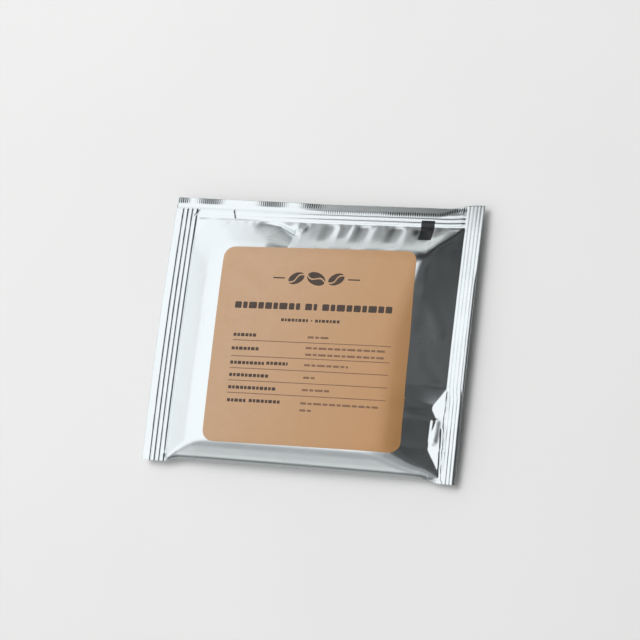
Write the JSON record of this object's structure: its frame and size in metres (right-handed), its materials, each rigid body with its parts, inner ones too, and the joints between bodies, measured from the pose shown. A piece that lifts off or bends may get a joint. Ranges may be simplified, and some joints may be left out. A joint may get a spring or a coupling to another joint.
{
  "type": "drip coffee bag",
  "caption": "Sealed foil sachet holding a single-serve drip coffee filter bag, folded at the bottom, heat-sealed on three sides, with a kraft paper label on the front.",
  "frame": {"origin": "under the middle of the sachet, on the surface that its back rests on", "axes": "+X along the bottom fold, towards the right seal as the front is read; +Y towards the top seal; +Z out of the labelled front"},
  "size_m": [0.12, 0.1, 0.014],
  "materials": {
    "foil_laminate": "satin silver laminate film with rolled seal ribs",
    "kraft_paper": "smooth printed kraft paper with a slight sheen",
    "black_ink": "black ink printed on the film"
  },
  "bodies": {
    "root": {"foil_sachet": "foil_laminate", "kraft_label": "kraft_paper", "registration_mark": "black_ink"}
  },
  "joints": []
}
